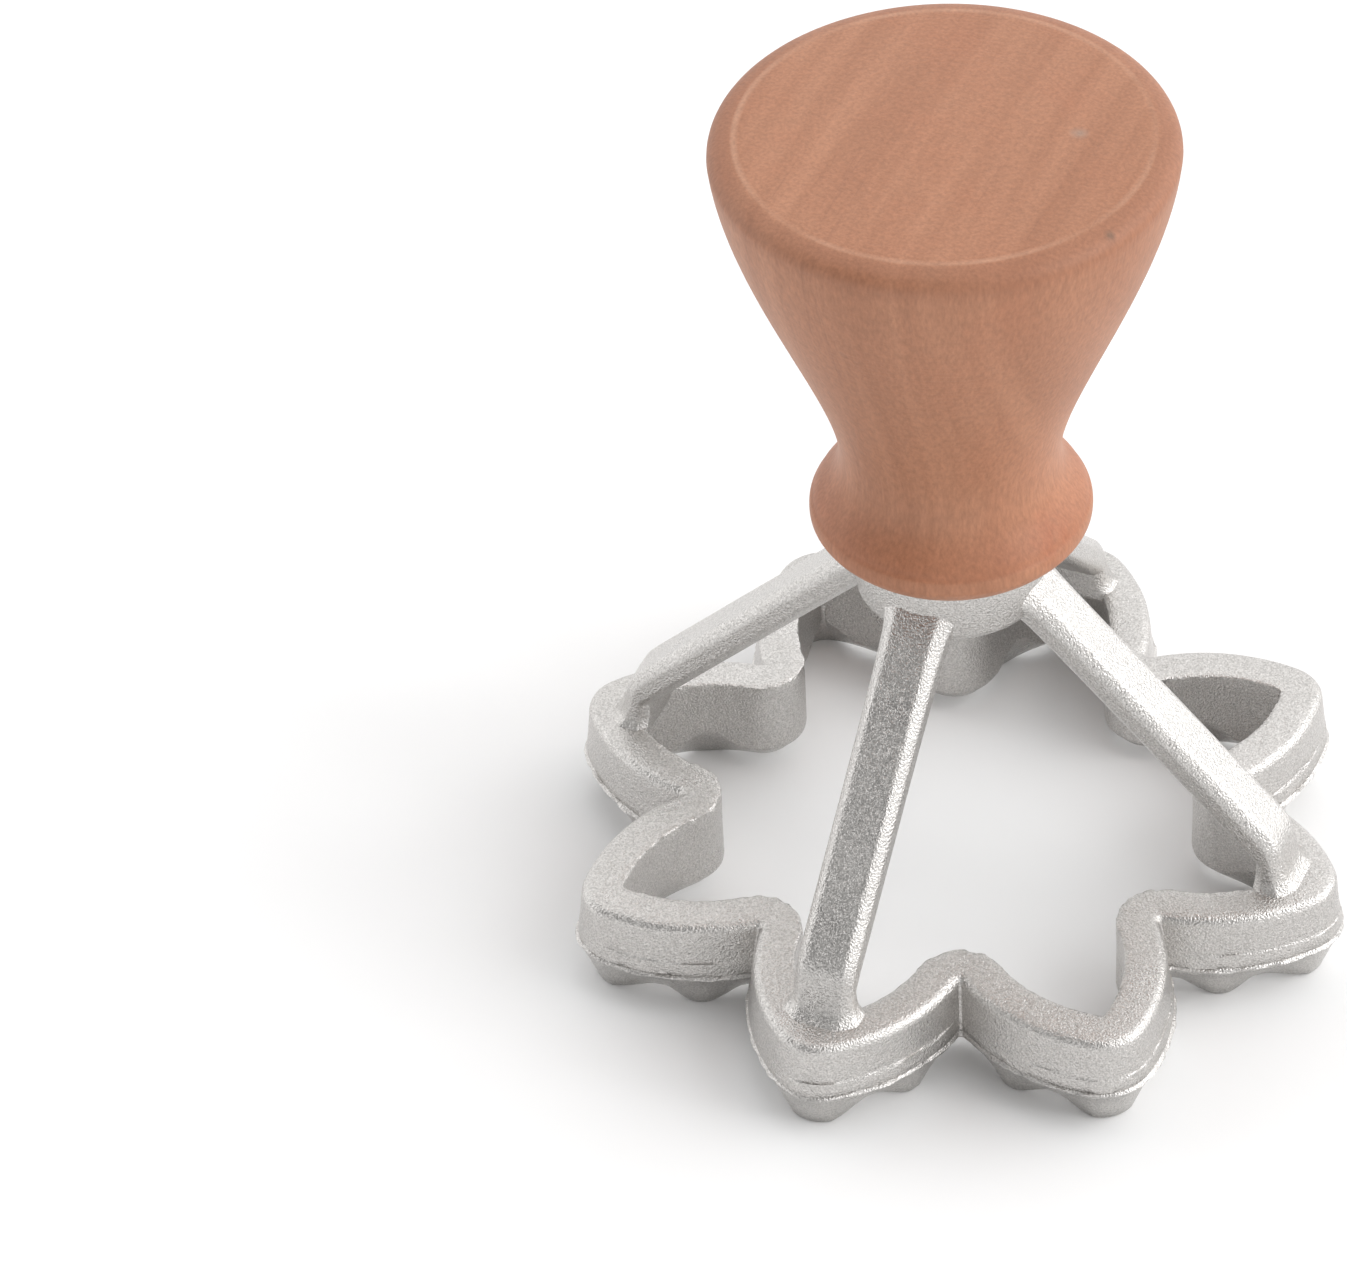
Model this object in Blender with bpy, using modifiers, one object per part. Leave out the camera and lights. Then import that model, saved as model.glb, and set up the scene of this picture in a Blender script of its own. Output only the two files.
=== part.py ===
"""Flower-shaped ravioli stamp: a die-cast toothed cutter on four legs, a turned knob, and their screw.

Run with: blender --background --python part.py
Metres, +Z up. The origin is on the stamp's axis, in the plane that the teeth stand on.
One leg points along -Y, and the petals and legs are counted anticlockwise from it.
"""
import math

import bpy
from mathutils import Matrix, Vector
from mathutils.geometry import interpolate_bezier

mm = 0.001

# Cutter ring, seen from above
PETALS = 8
TIP_REACH = 36.6 * mm            # axis to the tip of a petal, along its outer top edge
TIP_ROUND = 4.3 * mm             # radius of a petal's tip
SIDE_ROUND = 18.3 * mm           # radius of a petal's bowed sides
NOTCH_REACH = 25.25 * mm         # axis to where two petals' sides meet
NOTCH_ROUND = 0.25 * mm          # fillet in the bottom of that notch
WALL = 3.9 * mm                  # thickness of the ring at its top
INNER_TIP_ROUND = 0.35 * mm      # least radius inside a petal's tip

# Cutter ring, in section
RING_HEIGHT = 10.1 * mm
TOP_ROUND = 0.8 * mm             # rounded outer top edge
INNER_EDGE = 0.25 * mm           # broken inner top edge
PARTING_HEIGHT = 4.5 * mm        # the die's parting line, above the cutting edge
SPREAD = 0.6 * mm                # draft: the wall spreads this much from the top edge to the parting line
FLASH_WIDTH = 0.3 * mm           # thin ridge of metal along the parting line
FLASH_HALF = 0.2 * mm            # half of its height

# Fluted cutting edge: it swings between outer teeth and shorter inner teeth behind the gaps between them
EDGE_INSET = 1.1 * mm            # from the outer top edge in to the outer teeth
EDGE_WIDTH = 0.7 * mm            # flat of the outer teeth, which the stamp stands on
INNER_EDGE_INSET = 2.2 * mm      # from the outer top edge in to the inner teeth
INNER_LAND = 0.6 * mm            # width of the inner teeth's edge
INNER_RISE = 0.65 * mm           # the inner teeth end this high
INNER_TILT = 0.25 * mm           # their edge is this much higher on its inner side
INNER_FLANK_HEIGHT = 2.3 * mm    # the ring's inner wall comes down to here at the inner teeth
VALLEY_HEIGHT = 4.3 * mm         # and to here behind the outer teeth

# Places along the outer top edge, from a petal's tip to its notch
TIP_TOOTH_HALF = 2.5 * mm        # half the outer tooth at the tip
TIP_SLOPE = 4.2 * mm             # across to the first inner tooth
INNER_TOOTH = 1.3 * mm
SIDE_SLOPE = 3.1 * mm
SIDE_TOOTH = 1.1 * mm            # the outer tooth on a petal's side
NOTCH_SLOPE = 3.6 * mm           # across to the inner tooth behind the notch

# Legs
LEGS = 4
LEG_WIDTH = 5.2 * mm
LEG_THICKNESS = 3.3 * mm
LEG_CHAMFER = 0.7 * mm
LEG_TOP_DROP = 2.6 * mm          # a leg's upper face leaves the hub this far under the hub's top
LEG_FLARE = 0.8 * mm             # how much wider a leg gets on each side at its foot
KNEE_HEIGHT = 7.0 * mm           # the bend above the ring's top, on the leg's upper face
KNEE_BLEND = 1.8 * mm            # length of the bend on each side of it
FOOT_INSET = 4.6 * mm            # from a petal's tip in to the foot's outer face, at the ring's top
FOOT_LEAN = math.radians(81)     # slope of that face below the knee
FOOT_BLEND = 1.1 * mm            # length of the fillet on each side of the foot's outer corner
FOOT_DEPTH = 2.8 * mm            # outer face to heel, at the ring's top
FOOT_DIP = 0.15 * mm             # the fillet runs out this far under the ring's top
FOOT_SINK = 1.2 * mm             # how deep the foot runs into the ring

# Hub
HUB_DIAMETER = 17.2 * mm
HUB_HEIGHT = 5.5 * mm
HUB_EDGE = 0.5 * mm
SEAT_HEIGHT = 40.5 * mm          # top face of the hub, where the knob stands

# Knob, turned from one piece of wood
KNOB_HEIGHT = 44.3 * mm
KNOB_DIAMETER = 40.4 * mm
KNOB_TOP_DIAMETER = 35.8 * mm    # rim of the nearly flat top face
KNOB_CROWN = 0.5 * mm            # how much the top face rises to its middle
SHOULDER_DROP = 2.3 * mm         # top of the knob down to its widest line
WAIST_DIAMETER = 19.6 * mm
WAIST_HEIGHT = 10.0 * mm
FOOT_BEAD_DIAMETER = 25.0 * mm
FOOT_BEAD_HEIGHT = 2.4 * mm
KNOB_BASE_DIAMETER = 17.2 * mm

# Wood screw, driven up through the hub
SCREW_DIAMETER = 4.2 * mm
SCREW_LENGTH = 28.0 * mm         # under its head
SCREW_POINT = 5.0 * mm
SCREW_HEAD_DIAMETER = 7.8 * mm
SCREW_HEAD_HEIGHT = 2.0 * mm
SCREW_HEAD_RECESS = 0.2 * mm     # the head ends this far inside the hub's underside
CROSS_SLOT = 1.1 * mm
CROSS_SPAN = 4.2 * mm
CROSS_DEPTH = 1.3 * mm
DRILL_TIP = 1.5 * mm             # cone at the end of the pilot hole

# Fits
SEAT_GAP = 0.3 * mm              # knob over hub, and screw head under its seat
HOLE_CLEARANCE = 0.3 * mm        # round the screw, on each side

# Fineness
ARC_STEPS = 3
SLOPE_STEPS = 2
KNEE_STEPS = 3
FOOT_STEPS = 3
KNOB_SIDES = 56
HUB_SIDES = 48
SCREW_SIDES = 20

HALF_PETAL = math.pi / PETALS
SEAT_LEFT = HUB_HEIGHT - SCREW_HEAD_HEIGHT - SEAT_GAP - SCREW_HEAD_RECESS


def clear_scene():
    for old in list(bpy.data.objects):
        bpy.data.objects.remove(old, do_unlink=True)


def new_collection(name):
    collection = bpy.data.collections.new(name)
    bpy.context.scene.collection.children.link(collection)
    return collection


def mesh_object(name, points, faces, collection):
    mesh = bpy.data.meshes.new(name)
    mesh.from_pydata([tuple(point) for point in points], [], faces)
    mesh.update()
    made = bpy.data.objects.new(name, mesh)
    collection.objects.link(made)
    return made


def make_helper(helper):
    """A cutter or a joined shape, which isn't a piece by itself."""
    helper.hide_render = True
    helper.display_type = 'WIRE'
    return helper


def add_boolean(target, other, operation):
    modifier = target.modifiers.new(operation.lower() + "_" + other.name, 'BOOLEAN')
    modifier.operation = operation
    modifier.object = other
    modifier.solver = 'EXACT'


def shade_round(target, angle):
    target.data.shade_smooth()
    target.data.set_sharp_from_angle(angle=math.radians(angle))


def loft(name, sections, collection, closed_path):
    """Skin sections of equally many points; an open path gets flat ends."""
    count = len(sections[0])
    points = [point for section in sections for point in section]
    spans = len(sections) if closed_path else len(sections) - 1
    faces = []
    for i in range(spans):
        here = i * count
        there = ((i + 1) % len(sections)) * count
        for j in range(count):
            k = (j + 1) % count
            faces.append((here + j, here + k, there + k, there + j))
    if not closed_path:
        faces.append(tuple(reversed(range(count))))
        last = (len(sections) - 1) * count
        faces.append(tuple(range(last, last + count)))
    return mesh_object(name, points, faces, collection)


def turned(name, profile, sides, collection):
    """Turn a profile, given as radius and height, round the Z axis."""
    count = len(profile)
    closed = profile[0][0] > 0
    edges = [(i, i + 1) for i in range(count - 1)]
    if closed:
        edges.append((count - 1, 0))
    mesh = bpy.data.meshes.new(name)
    mesh.from_pydata([(radius, 0, height) for radius, height in profile], edges, [])
    made = bpy.data.objects.new(name, mesh)
    collection.objects.link(made)
    screw = made.modifiers.new("turn", 'SCREW')
    screw.steps = sides
    screw.render_steps = sides
    screw.use_merge_vertices = True
    screw.merge_threshold = 0.01 * mm
    screw.use_smooth_shade = True
    return made


def curve_points(start, start_handle, end_handle, end, steps):
    """A smooth stretch of a turned profile, without its last point."""
    corners = [Vector((radius, height, 0)) for radius, height in (start, start_handle, end_handle, end)]
    return [(point.x, point.y) for point in interpolate_bezier(*corners, steps + 1)[:-1]]


def material(name, colour, roughness, metallic):
    made = bpy.data.materials.new(name)
    made.use_nodes = True
    shader = made.node_tree.nodes["Principled BSDF"]
    shader.inputs["Base Color"].default_value = (*colour, 1)
    shader.inputs["Roughness"].default_value = roughness
    shader.inputs["Metallic"].default_value = metallic
    return made


# The flower outline

def side_centre():
    """Centre of the arc of a petal's side, for a petal along +X.

    The arc touches the tip's circle from outside it and ends in the notch.
    """
    tip = Vector((TIP_REACH - TIP_ROUND, 0))
    notch = Vector((NOTCH_REACH * math.cos(HALF_PETAL), NOTCH_REACH * math.sin(HALF_PETAL)))
    span = (tip - notch).length
    near_tip = SIDE_ROUND - TIP_ROUND
    along = (SIDE_ROUND ** 2 - near_tip ** 2 + span ** 2) / (2 * span)
    across = math.sqrt(SIDE_ROUND ** 2 - along ** 2)
    forward = (tip - notch).normalized()
    sideways = Vector((forward.y, -forward.x))
    candidates = [notch + forward * along + sideways * across, notch + forward * along - sideways * across]
    return min(candidates, key=lambda point: point.y)


def centre_on_ray(angle, distance):
    """The far point of a ray from the axis that lies at a distance from the side arc's centre."""
    centre = side_centre()
    ray = Vector((math.cos(angle), math.sin(angle)))
    along = centre.dot(ray)
    return ray * (along + math.sqrt(along ** 2 - centre.length_squared + distance ** 2))


def on_circle(centre, radius, angle):
    return centre + radius * Vector((math.cos(angle), math.sin(angle)))


def direction(start, end):
    return math.atan2(end.y - start.y, end.x - start.x)


def edge_stations():
    """Places along a petal's side, as lengths from its tip, each with its share of the way from outer to inner tooth."""
    inner_start = TIP_TOOTH_HALF + TIP_SLOPE
    inner_end = inner_start + INNER_TOOTH
    side_start = inner_end + SIDE_SLOPE
    side_end = side_start + SIDE_TOOTH
    notch_start = side_end + NOTCH_SLOPE
    stations = slope(TIP_TOOTH_HALF, inner_start, 0, 1)
    stations += slope(inner_end, side_start, 1, 0)
    stations += slope(side_end, notch_start, 0, 1)
    return stations


def slope(start, end, low, high):
    """Stations where the teeth cross the wall, eased at both ends."""
    steps = SLOPE_STEPS + 1
    result = []
    for i in range(steps + 1):
        share = i / steps
        eased = (1 - math.cos(math.pi * share)) / 2
        result.append((start + (end - start) * share, low + (high - low) * eased))
    return result


class Outline:
    """Half a petal's outline, set in from the outer top edge, as points from tip to notch."""

    def __init__(self, inset):
        centre = side_centre()
        side = SIDE_ROUND - inset
        tip_round = max(TIP_ROUND - inset, INNER_TIP_ROUND)
        notch_round = max(NOTCH_ROUND + inset, NOTCH_ROUND)
        tip = centre_on_ray(0, side - tip_round)
        notch = centre_on_ray(HALF_PETAL, side + notch_round)
        side_start = direction(centre, tip)
        side_end = direction(centre, notch)
        self.points = []
        for i in range(ARC_STEPS):
            self.points.append(on_circle(tip, tip_round, side_start * i / ARC_STEPS))
        for share in side_shares():
            self.points.append(on_circle(centre, side, side_start + (side_end - side_start) * share))
        arc_start = side_end + math.pi
        arc_end = HALF_PETAL + math.pi
        for i in range(ARC_STEPS + 1):
            angle = arc_start + (arc_end - arc_start) * i / ARC_STEPS
            self.points.append(on_circle(notch, notch_round, angle))


def side_lengths():
    """Length of the tip's arc up to the side, and of the side, along the outer top edge."""
    centre = side_centre()
    start = direction(centre, centre_on_ray(0, SIDE_ROUND - TIP_ROUND))
    end = direction(centre, centre_on_ray(HALF_PETAL, SIDE_ROUND + NOTCH_ROUND))
    return start * TIP_ROUND, (end - start) * SIDE_ROUND


def side_shares():
    """The teeth's stations as shares of the side's arc."""
    tip_arc, side_arc = side_lengths()
    return [max(length - tip_arc, 0) / side_arc for length, _ in edge_stations()]


def swings():
    """Share of the way from outer to inner tooth at each point of half a petal."""
    return [0] * ARC_STEPS + [swing for _, swing in edge_stations()] + [1] * (ARC_STEPS + 1)


def ring_sections():
    """Closed loops of the ring's section, one after another round the flower."""
    root = PARTING_HEIGHT - FLASH_HALF
    eased = TOP_ROUND * (1 - math.sqrt(0.5))
    rows = [
        plain_row(WALL, RING_HEIGHT - INNER_EDGE),
        plain_row(WALL - INNER_EDGE, RING_HEIGHT),
        plain_row(TOP_ROUND, RING_HEIGHT),
        plain_row(eased, RING_HEIGHT - eased),
        plain_row(0, RING_HEIGHT - TOP_ROUND),
        plain_row(-SPREAD, PARTING_HEIGHT + FLASH_HALF),
        plain_row(-SPREAD - FLASH_WIDTH, PARTING_HEIGHT),
        plain_row(-SPREAD, root),
        swung_row(EDGE_INSET, 0, INNER_EDGE_INSET, INNER_RISE),
        swung_row(EDGE_INSET + EDGE_WIDTH, 0, INNER_EDGE_INSET + INNER_LAND, INNER_RISE + INNER_TILT),
        swung_row(WALL, VALLEY_HEIGHT, WALL, INNER_FLANK_HEIGHT),
    ]
    half = [list(section) for section in zip(*rows)]
    mirrored = [[Vector((point.x, -point.y, point.z)) for point in section] for section in half]
    petal = mirrored[:0:-1] + half[:-1]
    sections = []
    for k in range(PETALS):
        turn = Matrix.Rotation(2 * math.pi * k / PETALS - math.pi / 2, 3, 'Z')
        sections += [[turn @ point for point in section] for section in petal]
    return sections


def plain_row(inset, height):
    """One row of the ring's surface along half a petal, at one inset and height."""
    return [Vector((*point, height)) for point in Outline(inset).points]


def swung_row(outer_inset, outer_height, inner_inset, inner_height):
    """A row that swings between its place at the outer teeth and its place at the inner teeth."""
    outer = plain_row(outer_inset, outer_height)
    inner = plain_row(inner_inset, inner_height)
    return [start.lerp(end, swing) for start, end, swing in zip(outer, inner, swings())]


# Legs and hub

def bend(start, corner, end, steps):
    """Points of a smooth bend between two straight stretches that would meet in a corner."""
    points = []
    for i in range(steps + 1):
        share = i / steps
        points.append(start.lerp(corner, share).lerp(corner.lerp(end, share), share))
    return points


def leg_profile():
    """Upper and lower edge of a leg's sections, each with its flare, from the hub into the ring."""
    leave = Vector((HUB_DIAMETER / 2, SEAT_HEIGHT - LEG_TOP_DROP))
    foot = Vector((TIP_REACH - FOOT_INSET, RING_HEIGHT - FOOT_DIP))
    lean = Vector((math.cos(FOOT_LEAN), -math.sin(FOOT_LEAN)))
    knee = foot - lean * ((KNEE_HEIGHT + FOOT_DIP) / -lean.y)
    run = (knee - leave).normalized()
    normal = Vector((-run.y, run.x))
    root = leave - run * ((HUB_DIAMETER - SCREW_HEAD_DIAMETER) / 8)
    upper_bend = bend(knee - run * KNEE_BLEND, knee, knee + lean * KNEE_BLEND, KNEE_STEPS)
    outer_bend = bend(foot - lean * FOOT_BLEND, foot, foot + Vector((FOOT_BLEND, 0)), FOOT_STEPS)
    start = upper_bend[0] - normal * LEG_THICKNESS
    heel = foot.x - FOOT_DEPTH
    heel_top = Vector((heel, start.y + (heel - start.x) * run.y / run.x))
    heel_bottom = Vector((heel, RING_HEIGHT - FOOT_DIP))
    edges = [(root, root - normal * LEG_THICKNESS, 0)]
    for i, upper in enumerate(upper_bend):
        edges.append((upper, start.lerp(heel_top, i / (KNEE_STEPS + 1)), 0))
    for i, upper in enumerate(outer_bend):
        share = i / FOOT_STEPS
        edges.append((upper, heel_top.lerp(heel_bottom, share), LEG_FLARE * share ** 2))
    sink = Vector((0, -FOOT_SINK))
    edges.append((outer_bend[-1] + sink, heel_bottom + sink, LEG_FLARE))
    return edges


def leg_section(upper, lower, flare):
    """A chamfered bar's outline between its upper and lower edge; a flare widens it with larger chamfers."""
    half = LEG_WIDTH / 2 + flare
    cut = LEG_CHAMFER + flare
    depth = (upper - lower).length
    down = (lower - upper) / depth
    side = [
        (half - cut, 0), (half, cut), (half, depth - LEG_CHAMFER), (half - LEG_CHAMFER, depth),
    ]
    corners = side + [(-across, below) for across, below in reversed(side)]
    section = []
    for across, below in corners:
        place = upper + down * below
        section.append(Vector((place.x, across, place.y)))
    return section


def make_leg(index, collection):
    turn = Matrix.Rotation(2 * math.pi * index / LEGS - math.pi / 2, 3, 'Z')
    sections = [[turn @ point for point in leg_section(*edge)] for edge in leg_profile()]
    return make_helper(loft("leg_%d" % (index + 1), sections, collection, closed_path=False))


def make_hub(collection):
    """A thick disc with the screw's hole, counterbored from below for its head."""
    radius = HUB_DIAMETER / 2
    hole = SCREW_DIAMETER / 2 + HOLE_CLEARANCE
    counterbore = SCREW_HEAD_DIAMETER / 2 + HOLE_CLEARANCE
    bottom = SEAT_HEIGHT - HUB_HEIGHT
    step = SEAT_HEIGHT - SEAT_LEFT
    profile = [
        (hole, SEAT_HEIGHT), (radius - HUB_EDGE, SEAT_HEIGHT), (radius, SEAT_HEIGHT - HUB_EDGE),
        (radius, bottom + HUB_EDGE), (radius - HUB_EDGE, bottom), (counterbore, bottom),
        (counterbore, step), (hole, step),
    ]
    return make_helper(turned("hub", profile, HUB_SIDES, collection))


def make_cutter(parts, helpers):
    """One casting: the toothed ring, four legs and the hub."""
    ring = loft("cutter_casting", ring_sections(), parts, closed_path=True)
    for i in range(LEGS):
        add_boolean(ring, make_leg(i, helpers), 'UNION')
    add_boolean(ring, make_hub(helpers), 'UNION')
    ring.data.materials.append(material("cast_aluminium", (0.46, 0.44, 0.42), 0.45, 1.0))
    return ring


# Knob and screw

def make_knob(parts):
    """Turned knob, bored from below for the screw."""
    bottom = SEAT_HEIGHT + SEAT_GAP
    wide = (KNOB_DIAMETER / 2, KNOB_HEIGHT - SHOULDER_DROP)
    rim = (KNOB_TOP_DIAMETER / 2, KNOB_HEIGHT - KNOB_CROWN)
    waist = (WAIST_DIAMETER / 2, WAIST_HEIGHT)
    bead = (FOOT_BEAD_DIAMETER / 2, FOOT_BEAD_HEIGHT)
    base = (KNOB_BASE_DIAMETER / 2, 0)
    crown = (0, KNOB_HEIGHT)
    flank = KNOB_HEIGHT - SHOULDER_DROP - WAIST_HEIGHT
    neck = WAIST_HEIGHT - FOOT_BEAD_HEIGHT
    shoulder =(KNOB_DIAMETER - KNOB_TOP_DIAMETER) / 2
    bore = SCREW_DIAMETER / 2 + HOLE_CLEARANCE
    depth = SCREW_LENGTH - SEAT_LEFT + SEAT_GAP
    profile = curve_points(crown, (rim[0] / 3, KNOB_HEIGHT), (rim[0] * 2 / 3, KNOB_HEIGHT - KNOB_CROWN / 2), rim, 3)
    profile += curve_points(rim, (rim[0] + shoulder * 0.6, rim[1] - KNOB_CROWN / 3),
                            (wide[0], wide[1] + SHOULDER_DROP / 2), wide, 4)
    profile += curve_points(wide, (wide[0] - flank * 0.035, wide[1] - flank * 0.34),
                            (waist[0], waist[1] + flank * 0.215), waist, 8)
    profile += curve_points(waist, (waist[0], waist[1] - neck * 0.64), (bead[0], bead[1] + neck * 0.43), bead, 6)
    profile += curve_points(bead, (bead[0], bead[1] * 0.48), (base[0] + (bead[0] - base[0]) * 0.2, 0), base, 4)
    profile += [base, (bore, 0), (bore, depth), (0, depth + DRILL_TIP)]
    knob = turned("knob", [(radius, bottom + height) for radius, height in profile], KNOB_SIDES, parts)
    knob.data.materials.append(material("turned_wood", (0.52, 0.28, 0.18), 0.55, 0.0))
    return knob


def make_screw(parts, helpers):
    """Pan-head wood screw with a cross recess, point up."""
    seat = SEAT_HEIGHT - SEAT_LEFT - SEAT_GAP
    head = SCREW_HEAD_DIAMETER / 2
    shank = SCREW_DIAMETER / 2
    face = seat - SCREW_HEAD_HEIGHT
    tip = seat + SCREW_LENGTH
    profile = [
        (0, tip), (shank, tip - SCREW_POINT), (shank, seat), (head, seat),
        (head, seat - SCREW_HEAD_HEIGHT * 0.4), (head * 0.8, face + SCREW_HEAD_HEIGHT * 0.15), (head * 0.5, face),
        (0, face),
    ]
    screw = turned("knob_screw", profile, SCREW_SIDES, parts)
    for index in range(2):
        bpy.ops.mesh.primitive_cube_add(size=1)
        slot = bpy.context.object
        slot.name = "cross_slot_%d" % (index + 1)
        slot.data.transform(Matrix.Diagonal((CROSS_SPAN, CROSS_SLOT, CROSS_DEPTH * 2, 1)))
        slot.data.transform(Matrix.Rotation(index * math.pi / 2, 4, 'Z'))
        slot.location = (0, 0, face)
        for owner in list(slot.users_collection):
            owner.objects.unlink(slot)
        helpers.objects.link(make_helper(slot))
        add_boolean(screw, slot, 'DIFFERENCE')
    screw.data.materials.append(material("zinc_steel", (0.60, 0.60, 0.58), 0.35, 1.0))
    return screw


clear_scene()
stamp = new_collection("ravioli_stamp")
shapes = new_collection("joined_shapes_and_cutters")
cutter = make_cutter(stamp, shapes)
knob = make_knob(stamp)
screw = make_screw(stamp, shapes)
shade_round(cutter, 35)
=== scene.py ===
"""Flower-shaped ravioli stamp: the look of each piece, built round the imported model.

Metres, +Z up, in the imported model's frame: the stamp's axis is Z and its teeth stand on Z = 0.
"""

import math

import bmesh
import bpy
from mathutils import Matrix, Vector, noise
from mathutils.geometry import interpolate_bezier


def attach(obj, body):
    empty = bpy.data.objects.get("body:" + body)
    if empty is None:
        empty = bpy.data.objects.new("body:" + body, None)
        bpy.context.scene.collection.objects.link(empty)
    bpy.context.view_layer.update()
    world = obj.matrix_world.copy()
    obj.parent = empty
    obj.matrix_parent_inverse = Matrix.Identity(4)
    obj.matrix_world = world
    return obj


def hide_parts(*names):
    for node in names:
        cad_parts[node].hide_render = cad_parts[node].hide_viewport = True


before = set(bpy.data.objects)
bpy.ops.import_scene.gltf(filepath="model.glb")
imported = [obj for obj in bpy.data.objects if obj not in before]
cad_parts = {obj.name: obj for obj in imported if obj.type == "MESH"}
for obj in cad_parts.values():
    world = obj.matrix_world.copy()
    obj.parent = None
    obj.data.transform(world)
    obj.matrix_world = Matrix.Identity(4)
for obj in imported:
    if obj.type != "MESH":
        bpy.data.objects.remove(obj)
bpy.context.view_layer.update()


# The cutter's ring is the lower part of one aluminium die casting: a wall that follows eight petals.
# It has a flat top, draft on the outside down to the die's parting line, and a fluted lower edge, with
# teeth on the outside that the stamp stands on and shorter ones between them on the inside.

mm = 0.001
MERGE = 0.002 * mm               # points closer than this are one
PETALS = 8
HALF_PETAL = math.pi / PETALS
TIP_REACH = 36.6 * mm            # axis to a petal's tip, along the outer top edge
TIP_ROUND = 4.3 * mm
SIDE_ROUND = 18.3 * mm           # radius of a petal's bowed sides
NOTCH_REACH = 25.25 * mm         # axis to where two petals' sides meet
NOTCH_ROUND = 0.25 * mm
NOTCH_FADE = 2.5 * mm            # the flash and the step fade out this near a notch
WALL = 3.9 * mm
RING_HEIGHT = 10.1 * mm
TOP_ROUND = 0.9 * mm
INNER_EDGE = 0.28 * mm           # broken inner top edge
PARTING_HEIGHT = 4.5 * mm        # the die's parting line
SPREAD = 0.5 * mm                # draft: the wall spreads this much from its top to the parting line
FLASH_WIDTH = 0.2 * mm
STEP_HEIGHT = 6.1 * mm           # below this one side stands out, as the die's halves aren't quite in line
STEP_WIDTH = 0.17 * mm
STEP_TOWARDS = math.radians(-38)

# The lower edge
OUTER_EDGE = 1.05 * mm           # from the outer top edge in to the outer teeth
OUTER_LAND = 0.8 * mm
EDGE_ROUND = 0.16 * mm
INNER_EDGE_INSET = 2.2 * mm      # from the outer top edge in to the inner teeth
INNER_LAND = 0.6 * mm
INNER_RISE = 0.65 * mm           # the inner teeth end this high
INNER_TILT = 0.25 * mm           # their edge is this much higher on its inner side
INNER_FLANK_HEIGHT = 2.3 * mm    # the inner wall comes down to here at the inner teeth
VALLEY_HEIGHT = 4.3 * mm         # and to here behind the outer teeth
VALLEY_ROUND = 0.25 * mm

# Teeth along a petal's side, as lengths from its tip
TIP_TOOTH_HALF = 2.5 * mm
TIP_SLOPE = 4.2 * mm
INNER_TOOTH = 1.3 * mm
SIDE_SLOPE = 3.1 * mm
SIDE_TOOTH = 1.1 * mm
NOTCH_SLOPE = 3.6 * mm

# What the casting left uneven
STEP_WANDER = 0.35 * mm          # the step's edge, up and down
FLASH_RAGGED = 0.15 * mm         # the flash, in and out
FLASH_WANDER = 0.2 * mm          # the flash, up and down
CREASE_DEPTH = 0.2 * mm
CHIP_DEPTH = 0.05 * mm           # burrs and chips of the inner top edge
LOBE_CHIP_DEPTH = 0.13 * mm      # and what they have more on the lobes between the petals
LOBE_REACH = 26.0 * mm
LOBE_FADE = 4.0 * mm
WALL_WAVE = 0.05 * mm

TIP_STEPS = 10
SIDE_STEPS = 44
NOTCH_STEPS = 9
TOP_STEPS = 5


def heading(start, end):
    return math.atan2(end.y - start.y, end.x - start.x)


def ray_meets_circle(angle, centre, radius):
    """Far point where a ray from the axis meets a circle."""
    ray = Vector((math.cos(angle), math.sin(angle), 0))
    along = centre.dot(ray)
    return ray * (along + math.sqrt(along ** 2 - centre.length_squared + radius ** 2))


def side_arc_centre():
    """Centre of a petal's bowed side, which runs from the tip's arc into the notch."""
    tip = Vector((TIP_REACH - TIP_ROUND, 0, 0))
    notch = NOTCH_REACH * Vector((math.cos(HALF_PETAL), math.sin(HALF_PETAL), 0))
    span = (tip - notch).length
    along = (SIDE_ROUND ** 2 - (SIDE_ROUND - TIP_ROUND) ** 2 + span ** 2) / (2 * span)
    across = math.sqrt(SIDE_ROUND ** 2 - along ** 2)
    forward = (tip - notch).normalized()
    return notch + forward * along + forward.cross(Vector((0, 0, 1))) * across


def outline_arcs(inset):
    """Centre, radius, start and end angle of the tip, side and notch arcs, set in from the outer top edge."""
    side = side_arc_centre()
    tip = Vector((TIP_REACH - TIP_ROUND, 0, 0))
    side_round = SIDE_ROUND - inset
    notch_round = max(NOTCH_ROUND + inset, NOTCH_ROUND)
    notch = ray_meets_circle(HALF_PETAL, side, side_round + notch_round)
    side_start = heading(side, tip)
    side_end = heading(side, notch)
    return (
        (tip, TIP_ROUND - inset, 0, side_start),
        (side, side_round, side_start, side_end),
        (notch, notch_round, side_end + math.pi, HALF_PETAL + math.pi),
    )


def ease(share):
    share = max(0, min(1, share))
    return share * share * (3 - 2 * share)


def tooth_swing(along):
    """Share of the way from an outer tooth to an inner one, at a length along a petal's side."""
    lengths = (TIP_TOOTH_HALF, TIP_SLOPE, INNER_TOOTH, SIDE_SLOPE, SIDE_TOOTH, NOTCH_SLOPE)
    swings = (0, 0, 1, 1, 0, 0, 1)
    for i, length in enumerate(lengths):
        if along <= length:
            share = along / length
            return swings[i] + (swings[i + 1] - swings[i]) * (share * 0.6 + ease(share) * 0.4)
        along -= length
    return 1


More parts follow.
